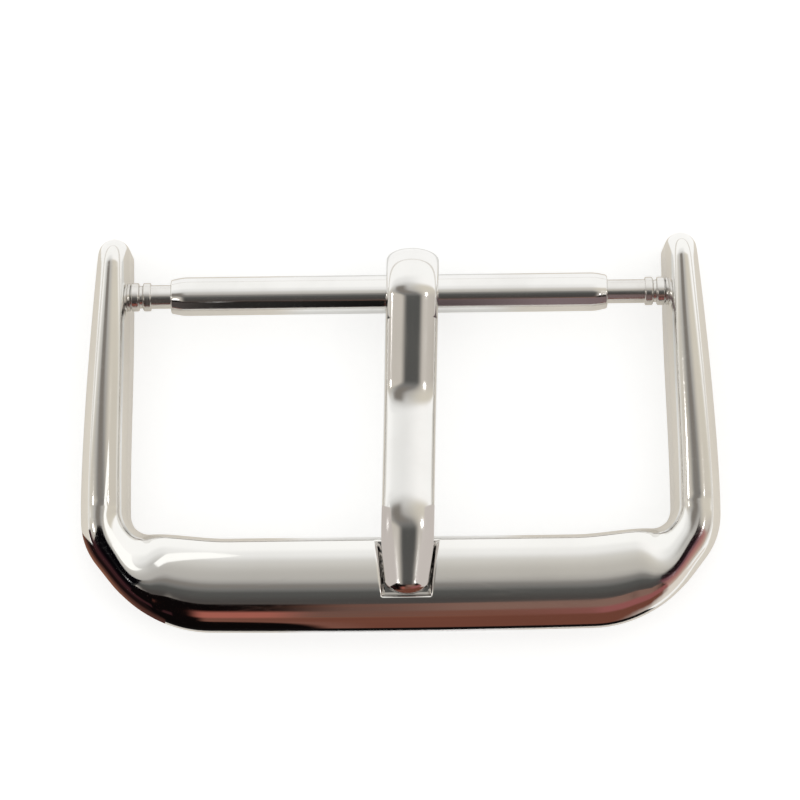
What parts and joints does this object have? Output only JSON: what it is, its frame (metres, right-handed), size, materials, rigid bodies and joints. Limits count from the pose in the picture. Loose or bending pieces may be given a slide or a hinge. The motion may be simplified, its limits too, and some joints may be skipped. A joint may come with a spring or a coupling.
{
  "type": "watch buckle",
  "caption": "Pin buckle for a watch strap: polished U-shaped frame with bevelled corners, a tongue rolled round a sprung strap bar, and a notch for the tongue's tip.",
  "frame": {"origin": "middle of the strap bar's axis, halfway between the two arms", "axes": "+X along the strap bar, +Y away from the front bar past the arms' free ends, +Z out of the domed face"},
  "size_m": [0.0214, 0.0132, 0.0032],
  "materials": {
    "frame_steel": "mirror polished stainless steel",
    "tongue_steel": "mirror polished stainless steel",
    "tube_steel": "mirror polished stainless steel",
    "pin_steel": "turned, lightly polished steel",
    "spring_steel": "drawn spring wire"
  },
  "bodies": {
    "frame": {"frame": "frame_steel"},
    "strap_bar": {"bar_tube": "tube_steel", "coil_spring": "spring_steel"},
    "left_pin": {"left_pin": "pin_steel"},
    "right_pin": {"right_pin": "pin_steel"},
    "tongue": {"tongue": "tongue_steel"}
  },
  "joints": [
    {"name": "bar_turn", "type": "hinge", "parent": "frame", "child": "strap_bar", "pos_m": [0, 0, 0], "axis": [1, 0, 0], "continuous": true},
    {"name": "left_pin_slide", "type": "slide", "parent": "strap_bar", "child": "left_pin", "axis": [1, 0, 0], "range_m": [0, 0.00065], "stiffness_N_per_m": 1500, "deforming": ["coil_spring"]},
    {"name": "right_pin_slide", "type": "slide", "parent": "strap_bar", "child": "right_pin", "axis": [-1, 0, 0], "range_m": [0, 0.00125], "stiffness_N_per_m": 1500, "deforming": ["coil_spring"]},
    {"name": "tongue_hinge", "type": "hinge", "parent": "frame", "child": "tongue", "pos_m": [0, 0, 0], "axis": [-1, 0, 0], "range_deg": [0, 180]}
  ]
}
